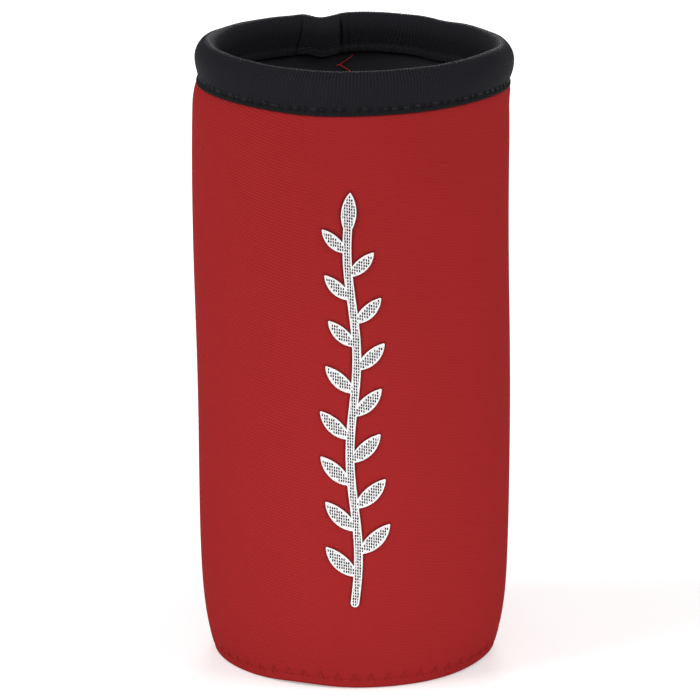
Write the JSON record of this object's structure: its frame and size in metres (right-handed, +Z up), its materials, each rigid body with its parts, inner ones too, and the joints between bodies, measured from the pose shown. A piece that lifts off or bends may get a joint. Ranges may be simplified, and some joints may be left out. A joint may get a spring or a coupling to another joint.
{
  "type": "can cooler sleeve",
  "caption": "Slim soft sleeve that keeps a drinks can cool: a knit-faced foam tube with a sewn flat base and a folded ribbed binding round its open rim.",
  "frame": {"origin": "centre of the flat underside of the base", "axes": "+Z up through the open rim, -Y to the front, +Y to the back seam"},
  "size_m": [0.0654, 0.0648, 0.1288],
  "materials": {
    "red_knit": "matt jersey knit with fine ribs, bonded to foam",
    "black_knit": "matt jersey knit lining",
    "black_rib": "ribbed knit binding with a slight sheen",
    "black_thread": "twisted sewing thread",
    "red_thread": "twisted sewing thread",
    "white_thread": "filled embroidery stitches with a soft sheen"
  },
  "bodies": {
    "root": {"wall_panel": "red_knit", "wall_lining": "black_knit", "base_disc": "red_knit", "base_lining": "black_knit", "rim_binding": "black_rib"}
  },
  "joints": []
}
